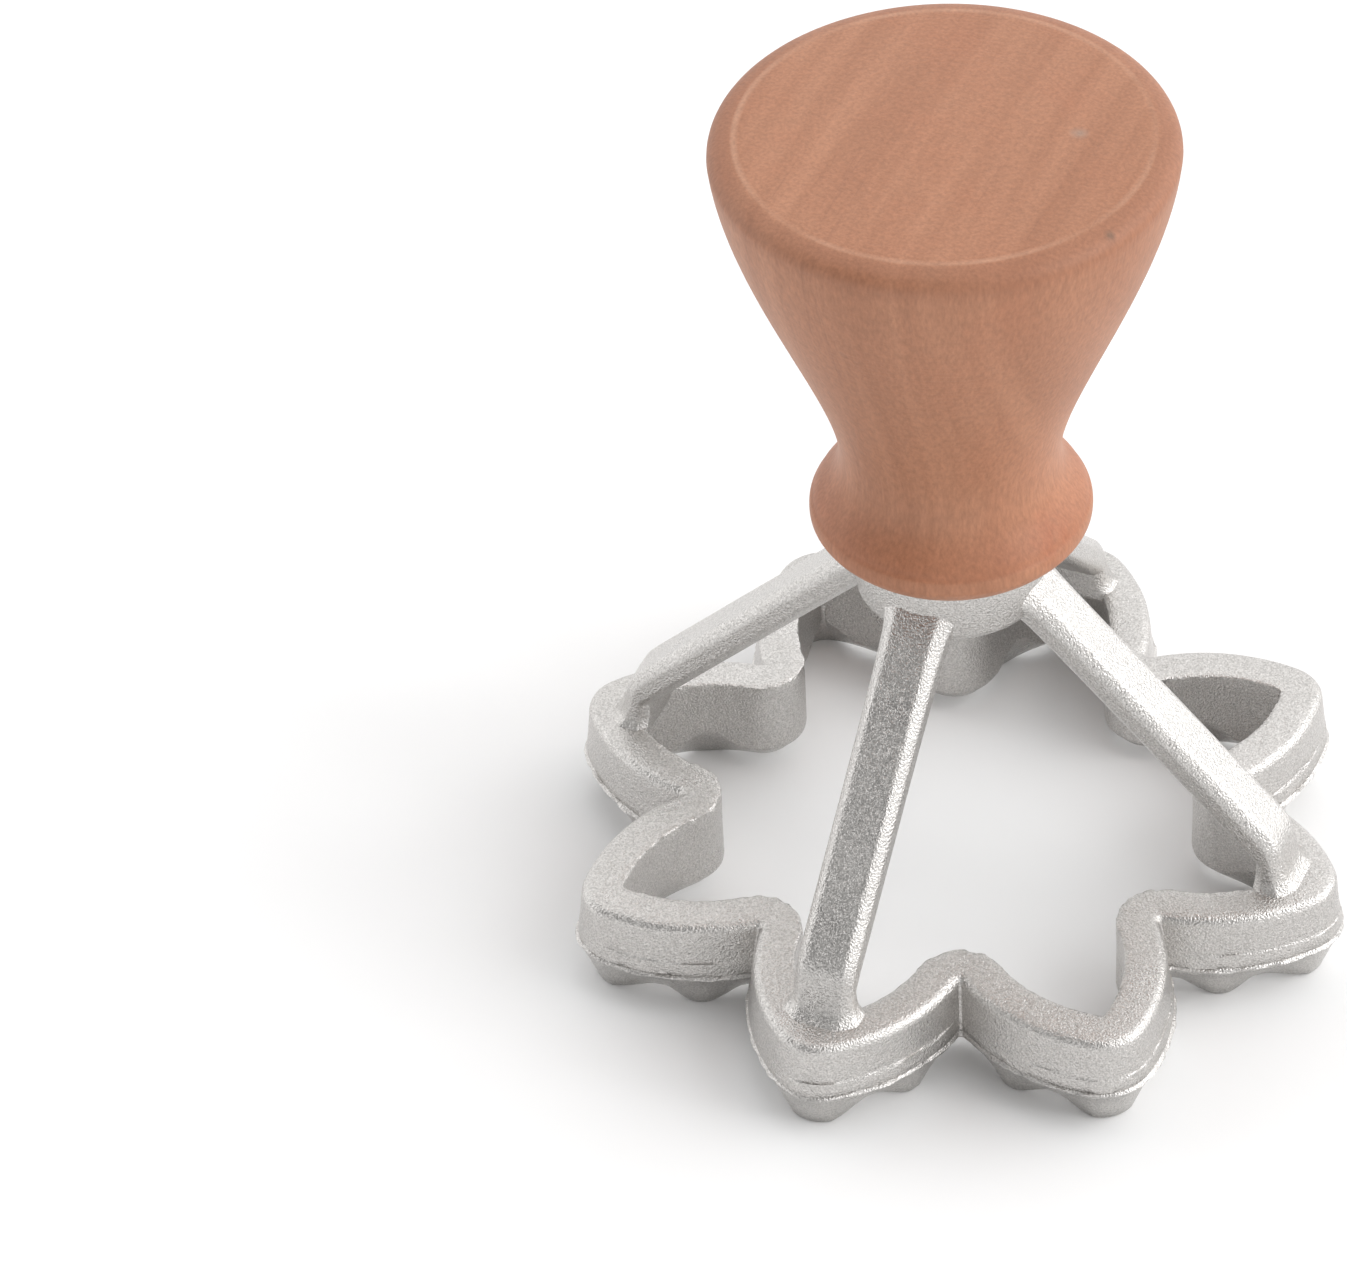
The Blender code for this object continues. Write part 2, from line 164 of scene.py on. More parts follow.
def half_petal_chain(bm):
    """A chain of vertices from a petal's tip to its notch, each with its arc and its share of that arc."""
    arc = bm.verts.layers.int.new("arc")
    share = bm.verts.layers.float.new("share")
    swing = bm.verts.layers.float.new("swing")
    openness = bm.verts.layers.float.new("openness")
    bm.verts.layers.int.new("role")
    arcs = outline_arcs(0)
    chain = [bm.verts.new((TIP_REACH, 0, 0))]
    side_length = arcs[1][1] * (arcs[1][3] - arcs[1][2])
    along = 0
    for i, steps in enumerate((TIP_STEPS, SIDE_STEPS, NOTCH_STEPS)):
        centre, radius, start, end = arcs[i]
        before = set(bm.verts)
        bmesh.ops.spin(bm, geom=[chain[-1]], cent=centre, axis=(0, 0, 1), angle=end - start, steps=steps)
        chain += [vert for vert in bm.verts if vert not in before]
        for j, vert in enumerate(chain[-steps:]):
            vert[arc] = i
            vert[share] = (j + 1) / steps
            along += radius * abs(end - start) / steps
            vert[swing] = tooth_swing(along)
            to_notch = side_length + TIP_ROUND * arcs[0][3] - along
            vert[openness] = ease(to_notch / NOTCH_FADE)
    chain[0][openness] = 1


def place_row(bm, verts, outer, inner, role):
    """Place a row, given its inset and height at an outer and at an inner tooth."""
    arc, role_layer = (bm.verts.layers.int[name] for name in ("arc", "role"))
    share, swing = (bm.verts.layers.float[name] for name in ("share", "swing"))
    for vert in verts:
        inset = outer[0] + (inner[0] - outer[0]) * vert[swing]
        height = outer[1] + (inner[1] - outer[1]) * vert[swing]
        centre, radius, start, end = outline_arcs(inset)[vert[arc]]
        angle = start + (end - start) * vert[share]
        vert.co = centre + radius * Vector((math.cos(angle), math.sin(angle), 0))
        vert.co.z = height
        vert[role_layer] = role


def grow_row(bm, row, outer, inner, role):
    """Extrude a row of edges and place it."""
    made = bmesh.ops.extrude_edge_only(bm, edges=row)["geom"]
    verts = {part for part in made if isinstance(part, bmesh.types.BMVert)}
    place_row(bm, verts, outer, inner, role)
    return [part for part in made if isinstance(part, bmesh.types.BMEdge) and verts.issuperset(part.verts)]


# What the die did to the metal in a row
PLAIN = 0
FLASH = 1
CREASE = 2       # groove just above the flash
BAND = 3         # outer wall from the step down to that groove
LOWER = 4        # just under the flash
CHIPPED = 5      # inner top edge

# Heights of rows: on the outer wall above the step, in the band below it, and on the inner wall
WALL_ROWS = (8.4 * mm, 7.3 * mm, STEP_HEIGHT + 0.25 * mm, STEP_HEIGHT + 0.05 * mm)
BAND_ROWS = (STEP_HEIGHT - 0.05 * mm, STEP_HEIGHT - 0.3 * mm, 5.3 * mm)
INNER_WALL_ROWS = (6.5 * mm, 8.6 * mm)

# Rows at the parting line: inset from the wall there, height above the line, and role
PARTING_ROWS = (
    (0.02 * mm, 0.28 * mm, BAND),
    (0.06 * mm, 0.18 * mm, CREASE),
    (-FLASH_WIDTH * 0.7, 0.06 * mm, FLASH),
    (-FLASH_WIDTH, -0.06 * mm, FLASH),
    (-FLASH_WIDTH * 0.4, -0.2 * mm, FLASH),
    (0.05 * mm, -0.34 * mm, LOWER),
    (0.12 * mm, -0.6 * mm, LOWER),
)


def between(start, end, share):
    return start[0] + (end[0] - start[0]) * share, start[1] + (end[1] - start[1]) * share


def ring_rows():
    """The wall's section from the outer edge of its top, down the outside, under, and up the inside."""
    rows = []
    for i in range(TOP_STEPS + 1):
        turn = math.pi / 2 * i / TOP_STEPS
        rows.append((TOP_ROUND * (1 - math.sin(turn)), RING_HEIGHT - TOP_ROUND * (1 - math.cos(turn)), PLAIN))
    draft = SPREAD / (RING_HEIGHT - TOP_ROUND - PARTING_HEIGHT)
    for heights, role in ((WALL_ROWS, PLAIN), (BAND_ROWS, BAND)):
        rows += [(-draft * (RING_HEIGHT - TOP_ROUND - height), height, role) for height in heights]
    rows += [(inset - SPREAD, PARTING_HEIGHT + rise, role) for inset, rise, role in PARTING_ROWS]
    rows = [((inset, height), (inset, height), role) for inset, height, role in rows]
    start = rows[-1][0]
    outer_foot = (OUTER_EDGE - EDGE_ROUND / 2, EDGE_ROUND)
    inner_foot = (INNER_EDGE_INSET - EDGE_ROUND / 2, INNER_RISE + EDGE_ROUND)
    for share in (0.06, 0.35, 0.68, 1):
        rows.append((between(start, outer_foot, share), between(start, inner_foot, share), PLAIN))
    for share, rise in ((0.2, 0), (0.8, 0), (1.1, EDGE_ROUND)):
        outer = (OUTER_EDGE + OUTER_LAND * share, rise)
        inner = (INNER_EDGE_INSET + INNER_LAND * share, INNER_RISE + INNER_TILT * share + rise)
        rows.append((outer, inner, PLAIN))
    outer_start, inner_start, _ = rows[-1]
    for share in (0.35, 0.7, 0.96):
        outer = between(outer_start, (WALL, VALLEY_HEIGHT), share)
        inner = between(inner_start, (WALL, INNER_FLANK_HEIGHT), share)
        rows.append((outer, inner, PLAIN))
    rows.append(((WALL, VALLEY_HEIGHT + VALLEY_ROUND), (WALL, INNER_FLANK_HEIGHT + VALLEY_ROUND), PLAIN))
    rows += [((WALL, height), (WALL, height), PLAIN) for height in INNER_WALL_ROWS]
    for inset, drop, role in ((0, 1, CHIPPED), (0.25, 0.3, CHIPPED), (1, 0, CHIPPED), (3, 0, PLAIN)):
        place = (WALL - INNER_EDGE * inset, RING_HEIGHT - INNER_EDGE * drop)
        rows.append((place, place, role))
    middle = ((WALL + TOP_ROUND) / 2, RING_HEIGHT)
    rows.append((middle, middle, PLAIN))
    return rows


def wander(place, size, shift=0):
    """A smooth random value between about -1 and 1 that changes over a given size."""
    return noise.noise(place / size + Vector((shift, shift * 2, 0)))


def roughen_ring(bm):
    """What the die left: halves a little out of line, ragged flash, burrs inside, a slightly wavy wall."""
    role = bm.verts.layers.int["role"]
    openness = bm.verts.layers.float["openness"]
    bm.normal_update()
    stepped = Vector((math.cos(STEP_TOWARDS), math.sin(STEP_TOWARDS), 0))
    moves = []
    for vert in bm.verts:
        flat = Vector((vert.normal.x, vert.normal.y, 0))
        if flat.length > 0.2:
            flat.normalize()
        step = STEP_WIDTH * ease((flat.dot(stepped) - 0.25) / 0.5) * vert[openness]
        step *= 0.75 + 0.5 * wander(vert.co, 3 * mm, 3)
        move = Vector((0, 0, 0))
        if vert[role] in (FLASH, CREASE, BAND, LOWER):
            move += flat * max(step, 0)
        if vert[role] == BAND and vert.co.z > STEP_HEIGHT - 0.4 * mm:
            move.z += wander(vert.co, 2.5 * mm, 5) * STEP_WANDER * ease(step / STEP_WIDTH)
        if vert[role] == FLASH:
            ragged = (wander(vert.co, 0.8 * mm) + wander(vert.co, 3.5 * mm)) * FLASH_RAGGED
            move += flat * max(ragged, -FLASH_WIDTH) * (0.3 + 0.7 * vert[openness])
            move.z += wander(vert.co, 2.2 * mm, 7) * FLASH_WANDER
        elif vert[role] == CREASE:
            move -= flat * max(0, wander(vert.co, 5 * mm, 9) * CREASE_DEPTH)
        elif vert[role] == CHIPPED:
            lobe = ease((LOBE_REACH - vert.co.xy.length) / LOBE_FADE)
            chip = wander(vert.co, 0.7 * mm) * (CHIP_DEPTH + LOBE_CHIP_DEPTH * lobe)
            move += flat * chip * 1.6 + Vector((0, 0, min(chip, 0)))
        elif 0.3 * mm < vert.co.z < RING_HEIGHT - 0.1 * mm:
            move += flat * wander(vert.co, 4 * mm) * WALL_WAVE
        moves.append((vert, move))
    for vert, move in moves:
        vert.co += move


def finished_object(name, bm, smooth_angle):
    """Close a mesh up, turn its faces outwards and give it to the stamp's only body."""
    bmesh.ops.remove_doubles(bm, verts=bm.verts[:], dist=MERGE)
    bmesh.ops.recalc_face_normals(bm, faces=bm.faces[:])
    mesh = bpy.data.meshes.new(name)
    bm.to_mesh(mesh)
    bm.free()
    mesh.shade_smooth()
    mesh.set_sharp_from_angle(angle=math.radians(smooth_angle))
    made = bpy.data.objects.new(name, mesh)
    bpy.context.scene.collection.objects.link(made)
    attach(made, "root")
    return made


def repeat_round(bm, count):
    """Turn a finished share of a flower from +X to -Y and repeat it round the axis."""
    everything = bm.verts[:] + bm.edges[:] + bm.faces[:]
    bmesh.ops.rotate(bm, verts=bm.verts[:], matrix=Matrix.Rotation(-math.pi / 2, 3, 'Z'))
    bmesh.ops.spin(bm, geom=everything, axis=(0, 0, 1), cent=(0, 0, 0), steps=count - 1, use_duplicate=True,
                   angle=2 * math.pi * (count - 1) / count)


bm = bmesh.new()
half_petal_chain(bm)
rows = ring_rows()
row = bm.edges[:]
place_row(bm, bm.verts[:], *rows[0])
for outer, inner, role in rows[1:] + rows[:1]:
    row = grow_row(bm, row, outer, inner, role)
bmesh.ops.remove_doubles(bm, verts=bm.verts[:], dist=MERGE)
bmesh.ops.mirror(bm, geom=bm.verts[:] + bm.edges[:] + bm.faces[:], axis='Y', merge_dist=MERGE)
repeat_round(bm, PETALS)
bmesh.ops.remove_doubles(bm, verts=bm.verts[:], dist=MERGE)
bmesh.ops.recalc_face_normals(bm, faces=bm.faces[:])
roughen_ring(bm)
ring = finished_object("cutter_ring", bm, 50)


def link(tree, output, node, socket):
    tree.links.new(output, node.inputs[socket])


def add_node(tree, kind, **values):
    """A node with some of its settings and unlinked sockets filled in."""
    node = tree.nodes.new(kind)
    for name, value in values.items():
        if hasattr(node, name):
            setattr(node, name, value)
        else:
            node.inputs[name.replace("_", " ")].default_value = value
    return node


def new_finish(name, colour, roughness, metallic):
    """A material with the even part of its finish set on its shader."""
    made = bpy.data.materials.new(name)
    made.use_nodes = True
    shader = made.node_tree.nodes["Principled BSDF"]
    shader.inputs["Base Color"].default_value = (*colour, 1)
    shader.inputs["Roughness"].default_value = roughness
    shader.inputs["Metallic"].default_value = metallic
    return made, made.node_tree, shader


def build_grain_group():
    """Grain of a cast or plated surface: a fine value, one that changes in larger blotches, and a height."""
    group = bpy.data.node_groups.new("surface_grain", 'ShaderNodeTree')
    group.interface.new_socket("Vector", in_out='INPUT', socket_type='NodeSocketVector')
    for name in ("Grain", "Blotch"):
        group.interface.new_socket(name, in_out='INPUT', socket_type='NodeSocketFloat')
    for name in ("Shade", "Blotches", "Height"):
        group.interface.new_socket(name, in_out='OUTPUT', socket_type='NodeSocketFloat')
    start = group.nodes.new('NodeGroupInput')
    end = group.nodes.new('NodeGroupOutput')
    fine = add_node(group, 'ShaderNodeTexNoise', Detail=2.0, Roughness=0.55)
    pits = add_node(group, 'ShaderNodeTexVoronoi', feature='SMOOTH_F1')
    blotch = add_node(group, 'ShaderNodeTexNoise', Detail=3.0, Roughness=0.5)
    height = add_node(group, 'ShaderNodeMath', operation='ADD')
    group.links.new(start.outputs["Vector"], fine.inputs["Vector"])
    group.links.new(start.outputs["Vector"], pits.inputs["Vector"])
    group.links.new(start.outputs["Vector"], blotch.inputs["Vector"])
    group.links.new(start.outputs["Grain"], fine.inputs["Scale"])
    group.links.new(start.outputs["Grain"], pits.inputs["Scale"])
    group.links.new(start.outputs["Blotch"], blotch.inputs["Scale"])
    group.links.new(fine.outputs["Fac"], height.inputs[0])
    group.links.new(pits.outputs["Distance"], height.inputs[1])
    group.links.new(fine.outputs["Fac"], end.inputs["Shade"])
    group.links.new(blotch.outputs["Fac"], end.inputs["Blotches"])
    group.links.new(height.outputs[0], end.inputs["Height"])
    return group


def cast_metal():
    """Tumbled die-cast aluminium: bright grey, grainy all over, a little rougher in patches."""
    made, tree, shader = new_finish("cast_aluminium", (0.58, 0.563, 0.545), 0.32, 1.0)
    place = add_node(tree, 'ShaderNodeTexCoord')
    grain = add_node(tree, 'ShaderNodeGroup', node_tree=surface_grain, Grain=5800.0, Blotch=160.0)
    tone = add_node(tree, 'ShaderNodeMapRange', From_Min=0.32, From_Max=0.68, To_Min=0.0, To_Max=1.0)
    colour = add_node(tree, 'ShaderNodeMix', data_type='RGBA')
    colour.inputs["A"].default_value = (0.45, 0.436, 0.42, 1)
    colour.inputs["B"].default_value = (0.71, 0.69, 0.67, 1)
    rough = add_node(tree, 'ShaderNodeMapRange', From_Min=0.3, From_Max=0.7, To_Min=0.26, To_Max=0.38)
    bump = add_node(tree, 'ShaderNodeBump', Strength=1.0, Distance=0.000075)
    link(tree, place.outputs["Object"], grain, "Vector")
    link(tree, grain.outputs["Shade"], tone, "Value")
    link(tree, tone.outputs[0], colour, "Factor")
    tree.links.new(colour.outputs["Result"], shader.inputs["Base Color"])
    link(tree, grain.outputs["Blotches"], rough, "Value")
    link(tree, rough.outputs[0], shader, "Roughness")
    link(tree, grain.outputs["Height"], bump, "Height")
    link(tree, bump.outputs["Normal"], shader, "Normal")
    return made


surface_grain = build_grain_group()
cast_aluminium = cast_metal()
ring.data.materials.append(cast_aluminium)
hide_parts("cutter_casting")


# Four legs belong to the same casting. Each is a sloping bar with rounded edges that runs from the hub
# down to a petal's tip, and flares out there into the ring's top face.

LEGS = 4
LEG_WIDTH = 5.6 * mm
LEG_THICKNESS = 3.3 * mm
LEG_CHAMFER = 0.8 * mm
LEG_HOLD = 0.35 * mm                             # keeps the rounding close to the chamfers
LEG_SLOPE = math.radians(44.7)                   # below the horizontal
LEG_START = Vector((8.6 * mm, 0, 37.9 * mm))     # where a leg's upper face leaves the hub
LEG_CORNERS = 16
ROUNDING_LEVELS = 2
KNEE_HEIGHT = 4.8 * mm                           # the bend above the ring's top, on the upper face
KNEE_START = 2.2 * mm                            # the bend begins this far before the knee
FOOT_LEAN = math.radians(80)                     # slope of the foot's outer face
FOOT_FILLET = 1.0 * mm
FOOT_DEPTH = 2.9 * mm                            # outer face to heel, at the ring's top
FOOT_SINK = 1.1 * mm                             # from the last foot row to the end inside the ring

# Distance along the leg from where it leaves the hub, and how much wider it is there on each side
HUB_FLARES = (
    (-2.4 * mm, 1.2 * mm), (-1.2 * mm, 0.9 * mm), (0, 0.6 * mm), (1.2 * mm, 0.3 * mm), (2.6 * mm, 0.1 * mm),
    (12 * mm, 0), (18 * mm, 0),
)

# Height of the outer face and of the heel above the ring's top, and share of the fillet spread there
FOOT_ROWS = (
    (2.2 * mm, 2.3 * mm, 0.05), (1.2 * mm, 1.25 * mm, 0.18), (0.65 * mm, 0.65 * mm, 0.4),
    (0.25 * mm, 0.25 * mm, 0.72), (0, 0, 1.05), (-0.25 * mm, -0.25 * mm, 1.2),
)


def corner_places(upper, lower, half, cut):
    """Sixteen corners of a bar with broken edges between its upper and lower edge, seen along the leg."""
    depth = (upper - lower).length
    down = (lower - upper) / depth
    side_cut = min(cut, depth * 0.3)
    right = (
        (half - cut - LEG_HOLD, 0), (half - cut, 0), (half, side_cut), (half, side_cut + LEG_HOLD),
        (half, depth - LEG_CHAMFER - LEG_HOLD), (half, depth - LEG_CHAMFER), (half - LEG_CHAMFER, depth),
        (half - LEG_CHAMFER - LEG_HOLD, depth),
    )
    places = right + tuple((-across, below) for across, below in reversed(right))
    return [upper + down * below + Vector((0, across, 0)) for across, below in places]


def leg_stations():
    """Upper edge, lower edge, half width and chamfer of a leg, from inside the hub into the ring."""
    run = Vector((math.cos(LEG_SLOPE), 0, -math.sin(LEG_SLOPE)))
    below = Vector((-math.sin(LEG_SLOPE), 0, -math.cos(LEG_SLOPE))) * LEG_THICKNESS
    half = LEG_WIDTH / 2
    stations = []
    for along, flare in HUB_FLARES:
        upper = LEG_START + run * along
        stations.append((upper, upper + below, half + flare, LEG_CHAMFER + flare))
    knee = LEG_START + run * ((LEG_START.z - RING_HEIGHT - KNEE_HEIGHT) / -run.z)
    lean = Vector((math.cos(FOOT_LEAN), 0, -math.sin(FOOT_LEAN)))
    foot = knee + lean * (KNEE_HEIGHT / -lean.z)
    heel = foot.x - FOOT_DEPTH
    start = knee - run * KNEE_START
    heel_top = start + below + run * ((heel - start.x - below.x) / run.x)
    bend = (
        (start, 0), (knee - run * 0.8 * mm, 0.35), (knee + lean * 0.6 * mm, 0.7), (knee + lean * 1.6 * mm, 1),
    )
    for upper, share in bend:
        stations.append((upper, (start + below).lerp(heel_top, share), half, LEG_CHAMFER))
    for rise, heel_rise, share in FOOT_ROWS:
        reach = FOOT_FILLET * share
        upper = Vector((foot.x - rise / math.tan(FOOT_LEAN) + reach, 0, RING_HEIGHT + rise))
        lower = Vector((heel, 0, RING_HEIGHT + heel_rise))
        stations.append((upper, lower, half + reach * 0.8, LEG_CHAMFER + reach * 0.7))
    upper, lower, wide, cut = stations[-1]
    sink = Vector((0, 0, -FOOT_SINK))
    stations.append((upper + sink, lower + sink, wide, cut))
    return stations


bm = bmesh.new()
corner = bm.verts.layers.int.new("corner")
stations = leg_stations()
bmesh.ops.create_circle(bm, segments=LEG_CORNERS, radius=LEG_WIDTH / 2)
for i, vert in enumerate(bm.verts):
    vert[corner] = i
    vert.co = corner_places(*stations[0])[i]
row = bm.edges[:]
bmesh.ops.edgeloop_fill(bm, edges=row)
for station in stations[1:]:
    made = bmesh.ops.extrude_edge_only(bm, edges=row)["geom"]
    verts = {part for part in made if isinstance(part, bmesh.types.BMVert)}
    places = corner_places(*station)
    for vert in verts:
        vert.co = places[vert[corner]]
    row = [part for part in made if isinstance(part, bmesh.types.BMEdge) and verts.issuperset(part.verts)]
bmesh.ops.edgeloop_fill(bm, edges=row)
repeat_round(bm, LEGS)
legs = finished_object("cutter_legs", bm, 180)
rounding = legs.modifiers.new("rounding", 'SUBSURF')
rounding.levels = ROUNDING_LEVELS
rounding.render_levels = ROUNDING_LEVELS
legs.data.materials.append(cast_aluminium)
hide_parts("cutter_casting")


# The hub is the round block that the legs meet in, at the top of the casting. The knob stands on it, and
# it has a hole for the knob's screw, counterbored from below for the screw's head.

HUB_RADIUS = 8.6 * mm
HUB_BOTTOM = 35.0 * mm
SEAT_HEIGHT = 40.5 * mm
HUB_ROUND = 0.9 * mm             # lower outer edge
HUB_TOP_ROUND = 0.4 * mm
SCREW_HOLE = 2.4 * mm            # radius
SCREW_HOLE_EDGE = 0.15 * mm
HEAD_HOLE = 4.2 * mm             # radius
HEAD_HOLE_EDGE = 0.2 * mm
HEAD_SEAT = 37.5 * mm            # height of the counterbore's floor, which the screw's head pulls against
HUB_SIDES = 96


def turn_profile(bm, profile, steps):
    """Turn a chain of radius and height once round the axis."""
    verts = [bm.verts.new((radius, 0, height)) for radius, height in profile]
    edges = [bm.edges.new(pair) for pair in zip(verts, verts[1:])]
    bmesh.ops.spin(bm, geom=verts + edges, cent=(0, 0, 0), axis=(0, 0, 1), angle=2 * math.pi, steps=steps,
                   use_merge=True)


def quarter(centre, radius, start, steps):
    """Points of a quarter circle, turning clockwise from a start angle in degrees."""
    points = []
    for i in range(steps + 1):
        turn = math.radians(start - 90 * i / steps)
        points.append((centre[0] + radius * math.cos(turn), centre[1] + radius * math.sin(turn)))
    return points


bm = bmesh.new()
profile = [(SCREW_HOLE, HEAD_SEAT), (SCREW_HOLE, SEAT_HEIGHT - SCREW_HOLE_EDGE)]
profile += [(SCREW_HOLE + SCREW_HOLE_EDGE, SEAT_HEIGHT)]
profile += quarter((HUB_RADIUS - HUB_TOP_ROUND, SEAT_HEIGHT - HUB_TOP_ROUND), HUB_TOP_ROUND, 90, 4)
profile += quarter((HUB_RADIUS - HUB_ROUND, HUB_BOTTOM + HUB_ROUND), HUB_ROUND, 0, 6)
profile += [(HEAD_HOLE + HEAD_HOLE_EDGE, HUB_BOTTOM), (HEAD_HOLE, HUB_BOTTOM + HEAD_HOLE_EDGE)]
profile += [(HEAD_HOLE, HEAD_SEAT), (SCREW_HOLE, HEAD_SEAT)]
turn_profile(bm, profile, HUB_SIDES)
hub = finished_object("cutter_hub", bm, 50)
hub.data.materials.append(cast_aluminium)
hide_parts("cutter_casting")


# The knob is turned from one piece of close-grained, pinkish wood, with the grain along its axis. The
# lathe left fine rings at the rim of its flat top, and it is sanded and thinly oiled.

KNOB_BOTTOM = 40.55 * mm
KNOB_TOP = 85.1 * mm
KNOB_RADIUS = 20.19 * mm
TOP_RADIUS = 17.9 * mm           # rim of the nearly flat top face
CROWN = 0.5 * mm                 # how much the top face rises to its middle
SHOULDER_DROP = 2.28 * mm        # top of the knob down to its widest line
WAIST_RADIUS = 9.8 * mm
WAIST_RISE = 10.2 * mm           # this and the rises below are above the knob's base
ARRIS_RADIUS = 12.25 * mm
ARRIS_RISE = 4.7 * mm
BEAD_RADIUS = 12.55 * mm
BEAD_RISE = 3.7 * mm
LIP_RADIUS = 12.2 * mm
LIP_RISE = 2.7 * mm
BASE_RADIUS = 8.6 * mm
BORE_DEPTH = 25.0 * mm
DRILL_TIP = 1.5 * mm
KNOB_SIDES = 160
GRAIN_TURN = math.radians(-7)    # of the growth bands, round the knob's axis


def sweep(start, start_handle, end_handle, end, steps):
    """A smooth stretch of a turned profile, without its last point."""
    corners = [Vector((radius, height, 0)) for radius, height in (start, start_handle, end_handle, end)]
    return [(point.x, point.y) for point in interpolate_bezier(*corners, steps + 1)[:-1]]


def knob_profile():
    """Radius and height from the middle of the knob's top, down its outside, and up the screw's bore."""
    rim = (TOP_RADIUS, KNOB_TOP - CROWN)
    wide = (KNOB_RADIUS, KNOB_TOP - SHOULDER_DROP)
    waist = (WAIST_RADIUS, KNOB_BOTTOM + WAIST_RISE)
    arris = (ARRIS_RADIUS, KNOB_BOTTOM + ARRIS_RISE)
    bead = (BEAD_RADIUS, KNOB_BOTTOM + BEAD_RISE)
    lip = (LIP_RADIUS, KNOB_BOTTOM + LIP_RISE)
    base = (BASE_RADIUS, KNOB_BOTTOM)
    flank = wide[1] - waist[1]
    neck = waist[1] - arris[1]
    points = sweep((0, KNOB_TOP), (6 * mm, KNOB_TOP), (12 * mm, KNOB_TOP - CROWN / 2), rim, 12)
    points += sweep(rim, (rim[0] + 1.26 * mm, rim[1] - CROWN / 3),
                    (wide[0], wide[1] + SHOULDER_DROP / 2), wide, 12)
    points += sweep(wide, (wide[0] - flank * 0.035, wide[1] - flank * 0.34),
                    (waist[0], waist[1] + flank * 0.215), waist, 30)
    points += sweep(waist, (waist[0], waist[1] - neck * 0.6),
                    (arris[0] - 0.5 * mm, arris[1] + 1.6 * mm), arris, 16)
    points += sweep(arris, (arris[0] + 0.25 * mm, arris[1] - 0.25 * mm),
                    (bead[0], bead[1] + 0.5 * mm), bead, 6)
    points += sweep(bead, (bead[0], bead[1] - 0.5 * mm), (lip[0] + 0.25 * mm, lip[1] + 0.4 * mm), lip, 6)
    points += sweep(lip, (lip[0] - 0.6 * mm, lip[1] - 0.8 * mm),
                    (base[0] + 1.0 * mm, base[1] + 0.1 * mm), base, 8)
    points += [base, (SCREW_HOLE, KNOB_BOTTOM), (SCREW_HOLE, KNOB_BOTTOM + BORE_DEPTH)]
    return points + [(0, KNOB_BOTTOM + BORE_DEPTH + DRILL_TIP)]


def band_noise(tree, place, scale, turn, grain):
    """Noise drawn out along one direction of the wood."""
    stretch = add_node(tree, 'ShaderNodeMapping')
    stretch.inputs["Scale"].default_value = scale
    stretch.inputs["Rotation"].default_value = (0, 0, turn)
    made = add_node(tree, 'ShaderNodeTexNoise', Scale=grain, Detail=3.0, Roughness=0.6)
    link(tree, place.outputs["Object"], stretch, "Vector")
    link(tree, stretch.outputs[0], made, "Vector")
    return made.outputs["Fac"]


def share_of(tree, value, low, high, at_low, at_high):
    """A value that goes from one end to the other while another goes from low to high."""
    made = add_node(tree, 'ShaderNodeMapRange', From_Min=low, From_Max=high, To_Min=at_low, To_Max=at_high)
    link(tree, value, made, "Value")
    return made.outputs[0]


def tinted(tree, colour, tint, mask):
    """A colour with another laid over it where a mask is high."""
    made = add_node(tree, 'ShaderNodeMix', data_type='RGBA')
    made.inputs["B"].default_value = (*tint, 1)
    tree.links.new(colour, made.inputs["A"])
    tree.links.new(mask, made.inputs["Factor"])
    return made.outputs["Result"]


def product(tree, first, second):
    made = add_node(tree, 'ShaderNodeMath', operation='MULTIPLY')
    tree.links.new(first, made.inputs[0])
    tree.links.new(second, made.inputs[1])
    return made.outputs[0]


def lathe_rings(tree, place):
    """Fine rings round the axis, from a noise that only changes with radius and height, which come too."""
    split = add_node(tree, 'ShaderNodeSeparateXYZ')
    flat = add_node(tree, 'ShaderNodeCombineXYZ')
    radius = add_node(tree, 'ShaderNodeVectorMath', operation='LENGTH')
    joined = add_node(tree, 'ShaderNodeCombineXYZ')
    rings = add_node(tree, 'ShaderNodeTexNoise', Scale=2200.0, Detail=2.0)
    link(tree, place.outputs["Object"], split, "Vector")
    tree.links.new(split.outputs["X"], flat.inputs["X"])
    tree.links.new(split.outputs["Y"], flat.inputs["Y"])
    tree.links.new(flat.outputs[0], radius.inputs[0])
    tree.links.new(radius.outputs["Value"], joined.inputs["X"])
    tree.links.new(split.outputs["Z"], joined.inputs["Z"])
    link(tree, joined.outputs[0], rings, "Vector")
    return rings.outputs["Fac"], radius.outputs["Value"], split.outputs["Z"]


# Marks of use: place, reach, colour and strength
MARKS = (
    ((10.75 * mm, 3.75 * mm, 84.9 * mm), 1.0 * mm, (0.30, 0.25, 0.21), 0.5),
    ((17.9 * mm, -7.6 * mm, 84.2 * mm), 0.7 * mm, (0.14, 0.09, 0.06), 0.6),
    ((-2.2 * mm, -17.6 * mm, 73.3 * mm), 0.55 * mm, (0.24, 0.13, 0.09), 0.6),
    ((6.1 * mm, -17.7 * mm, 84.4 * mm), 1.6 * mm, (0.28, 0.13, 0.075), 0.35),
    ((10.4 * mm, -3.2 * mm, 45.6 * mm), 3.6 * mm, (0.36, 0.10, 0.04), 0.45),
    ((7.6 * mm, -7.0 * mm, 45.2 * mm), 2.4 * mm, (0.30, 0.09, 0.04), 0.4),
)


